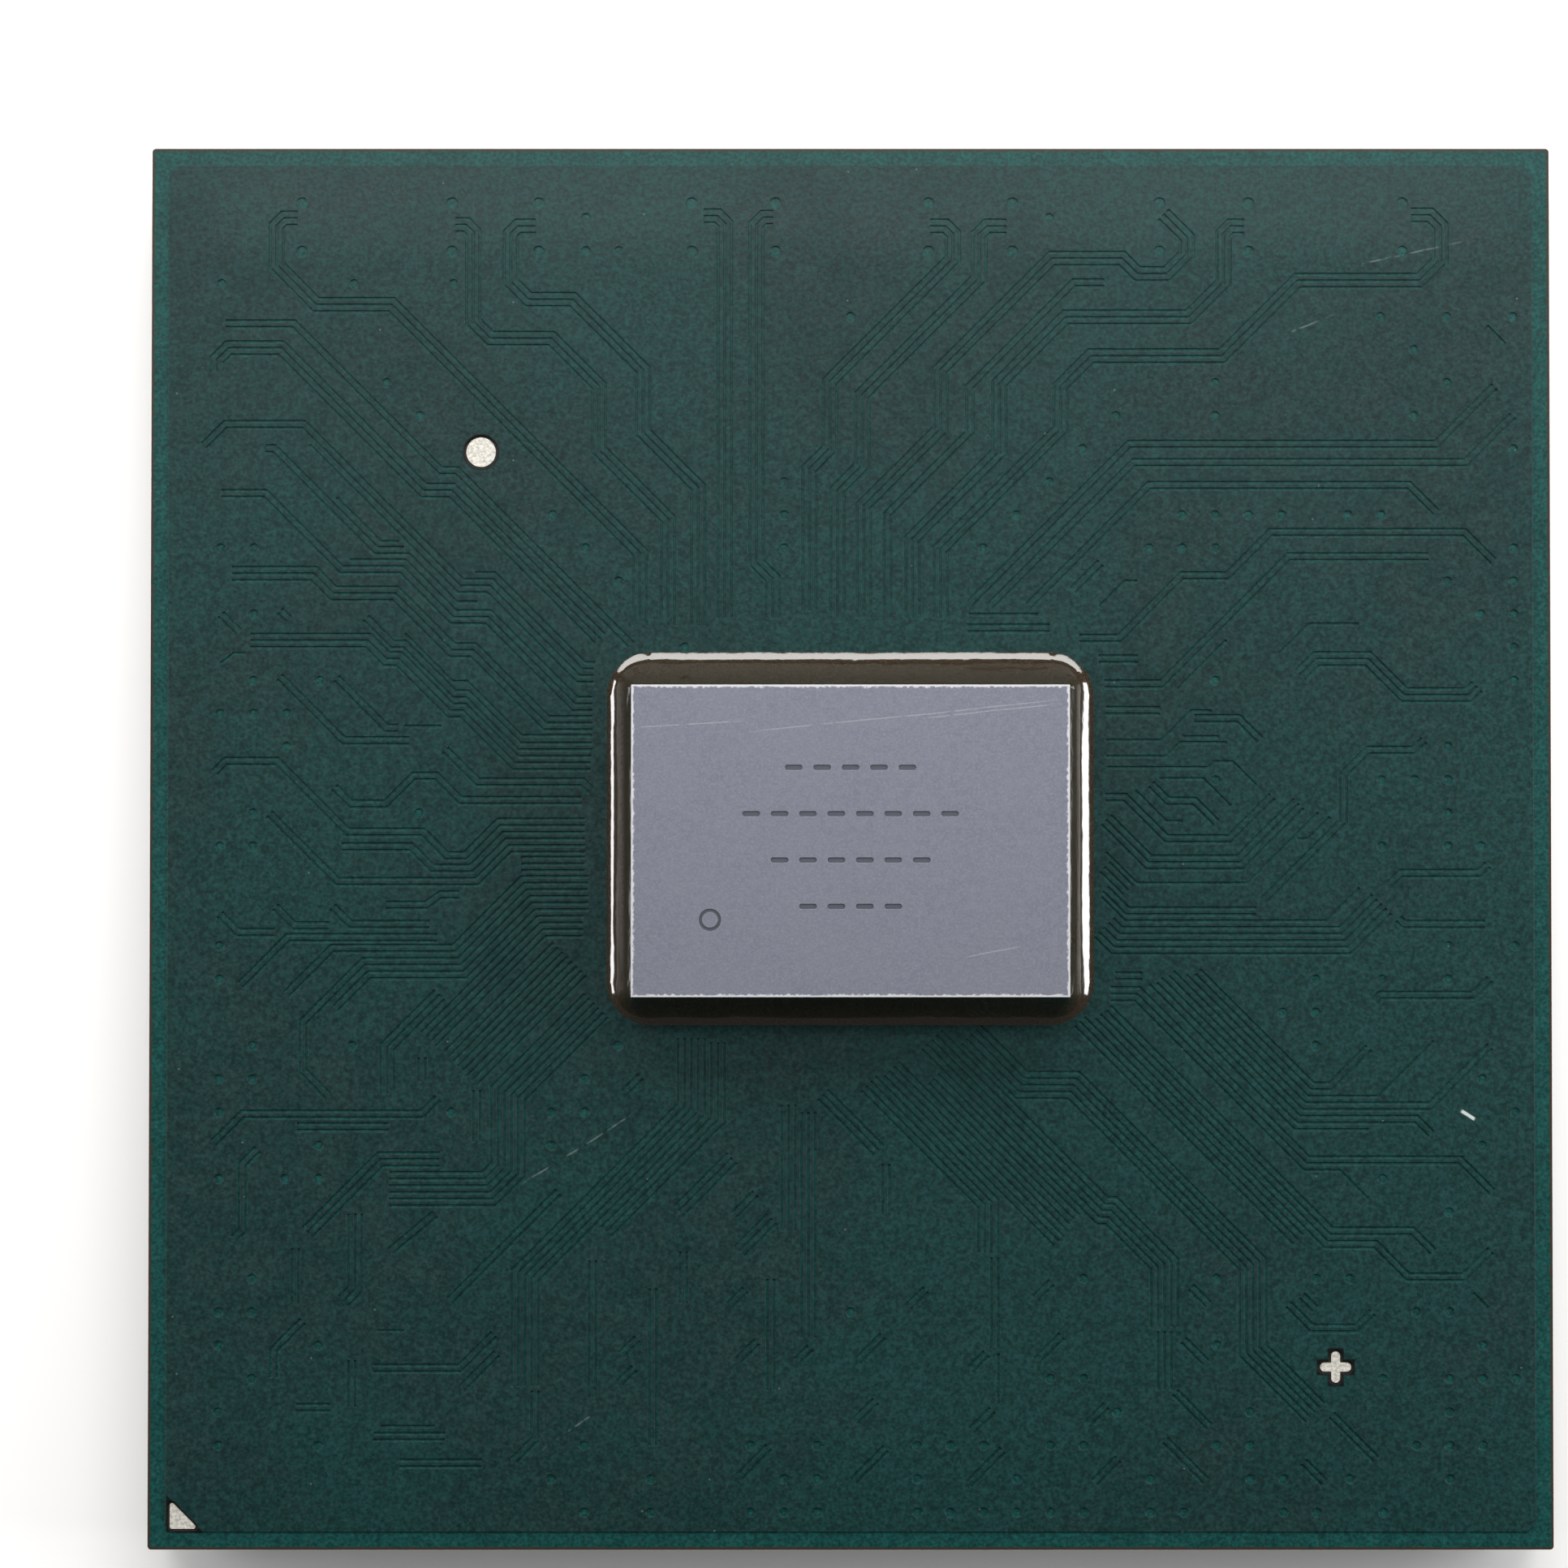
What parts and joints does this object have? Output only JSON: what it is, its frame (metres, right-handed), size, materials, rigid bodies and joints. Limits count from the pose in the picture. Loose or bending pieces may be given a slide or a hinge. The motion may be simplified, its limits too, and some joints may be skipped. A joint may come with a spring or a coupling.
{
  "type": "flip-chip ball grid array package",
  "caption": "Square flip-chip package: teal substrate with sunk trace pattern, bare grey die in a dark underfill fillet on top, and a full grid of solder balls below",
  "frame": {"origin": "centre of the plane that the solder balls stand on", "axes": "+Z is the die side, +X and +Y run along the sides of the substrate, and the pin 1 corner is at -X -Y"},
  "size_m": [0.019, 0.019, 0.0022],
  "materials": {
    "laminate": "matt glass cloth and resin",
    "buildup_film": "matt resin film",
    "solder_mask": "satin",
    "silicon": "fine ground",
    "copper": "plain",
    "plated_pad": "satin",
    "underfill_resin": "gloss",
    "solder": "satin"
  },
  "bodies": {
    "root": {"core_laminate": "laminate", "top_buildup": "buildup_film", "bottom_buildup": "buildup_film", "top_solder_mask": "solder_mask", "bottom_solder_mask": "solder_mask", "silicon_die": "silicon", "copper_pillars": "copper", "underfill": "underfill_resin", "ball_lands": "copper", "fiducial_dot": "plated_pad", "fiducial_cross": "plated_pad", "pin1_triangle": "plated_pad", "balls_row_a": "solder", "balls_row_b": "solder", "balls_row_c": "solder", "balls_row_d": "solder", "balls_row_e": "solder", "balls_row_f": "solder", "balls_row_g": "solder", "balls_row_h": "solder", "balls_row_j": "solder", "balls_row_k": "solder", "balls_row_l": "solder", "balls_row_m": "solder", "balls_row_n": "solder", "balls_row_p": "solder", "balls_row_r": "solder", "balls_row_t": "solder", "balls_row_u": "solder", "balls_row_v": "solder", "balls_row_w": "solder", "balls_row_y": "solder", "balls_row_aa": "solder", "balls_row_ab": "solder", "balls_row_ac": "solder"}
  },
  "joints": []
}
